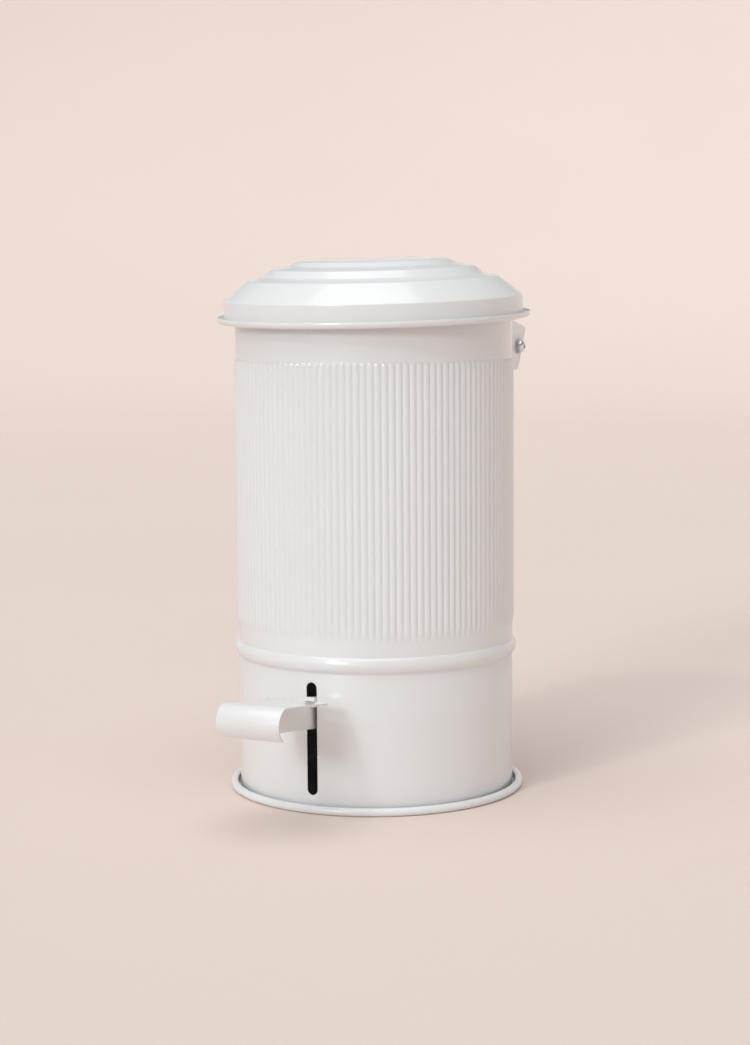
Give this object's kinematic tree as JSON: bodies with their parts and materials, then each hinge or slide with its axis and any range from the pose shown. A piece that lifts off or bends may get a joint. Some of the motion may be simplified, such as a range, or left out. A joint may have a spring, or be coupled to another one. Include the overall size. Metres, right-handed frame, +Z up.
{
  "type": "pedal bin",
  "caption": "Round painted-steel pedal bin with a ribbed body, a stepped hinged lid, a flat-bar foot lever, an outside push rod and a lift-out bucket.",
  "frame": {"origin": "on the body's axis at floor level, in the middle of the base pan's flat underside", "axes": "+Z up along the body's axis; the pedal points along -Y and the lid hinge is on the +Y side, its axis along X"},
  "size_m": [0.2468, 0.3524, 0.4204],
  "materials": {
    "white_paint": "smooth semi-gloss powder coat, warm white",
    "zinc_steel": "bright zinc plating, satin",
    "chrome_screw": "polished nickel-chrome",
    "white_nylon": "moulded nylon, matt",
    "black_rubber": "soft moulded rubber",
    "galvanised_sheet": "galvanised sheet with a faint spangle"
  },
  "bodies": {
    "bin_body": {"body_shell": "white_paint", "base_pan": "white_paint", "bucket_shelf": "zinc_steel", "lever_bracket": "zinc_steel", "lever_pin": "zinc_steel", "lever_pin_clip": "zinc_steel", "lever_spacer_left": "white_nylon", "lever_spacer_right": "white_nylon", "rod_guide_lower": "zinc_steel", "rod_guide_upper": "zinc_steel", "guide_rivet_lower_left": "zinc_steel", "guide_rivet_lower_right": "zinc_steel", "guide_rivet_upper_left": "zinc_steel", "guide_rivet_upper_right": "zinc_steel", "hinge_bracket_left": "white_paint", "hinge_bracket_right": "white_paint", "bracket_rivet_left_lower": "white_paint", "bracket_rivet_left_upper": "white_paint", "bracket_rivet_right_lower": "white_paint", "bracket_rivet_right_upper": "white_paint", "hinge_axle": "zinc_steel", "hinge_screw_left": "chrome_screw", "hinge_screw_right": "chrome_screw", "hinge_washer_left": "zinc_steel", "hinge_washer_right": "zinc_steel"},
    "lid": {"lid_shell": "white_paint", "lid_hinge_strap": "white_paint", "lid_crank": "zinc_steel", "strap_rivet_left": "white_paint", "strap_rivet_right": "white_paint", "lid_buffer_left": "black_rubber", "lid_buffer_right": "black_rubber"},
    "pedal": {"pedal_lever": "white_paint", "pedal_pad": "white_paint", "lever_guide_shoe": "white_nylon"},
    "push_rod": {"push_rod": "zinc_steel", "rod_clip_lower": "zinc_steel", "rod_clip_upper": "zinc_steel"},
    "bucket": {"bucket": "galvanised_sheet", "bail_lug_left": "galvanised_sheet", "bail_lug_right": "galvanised_sheet"},
    "bail": {"bucket_bail": "zinc_steel"}
  },
  "joints": [
    {"name": "lid_hinge", "type": "hinge", "parent": "bin_body", "child": "lid", "pos_m": [0, 0.131, 0.346], "axis": [-1, 0, 0], "range_deg": [0, 65]},
    {"name": "pedal_press", "type": "hinge", "parent": "bin_body", "child": "pedal", "pos_m": [0, 0.0602, 0.0532], "axis": [1, 0, 0], "range_deg": [0, 14.8]},
    {"name": "rod_lift", "type": "slide", "parent": "bin_body", "child": "push_rod", "axis": [0, 0, 1], "range_m": [0, 0.0153]},
    {"name": "bucket_lift", "type": "slide", "parent": "bin_body", "child": "bucket", "axis": [0, 0, 1], "range_m": [0, 0.005]},
    {"name": "bail_swing", "type": "hinge", "parent": "bucket", "child": "bail", "pos_m": [0, 0, 0.354], "axis": [-1, 0, 0], "range_deg": [0, 8]}
  ],
  "couplings": [
    {"joint": "pedal_press", "follows": "lid_hinge", "ratio": 0.22749},
    {"joint": "rod_lift", "follows": "lid_hinge", "m_per_rad": 0.01345}
  ]
}
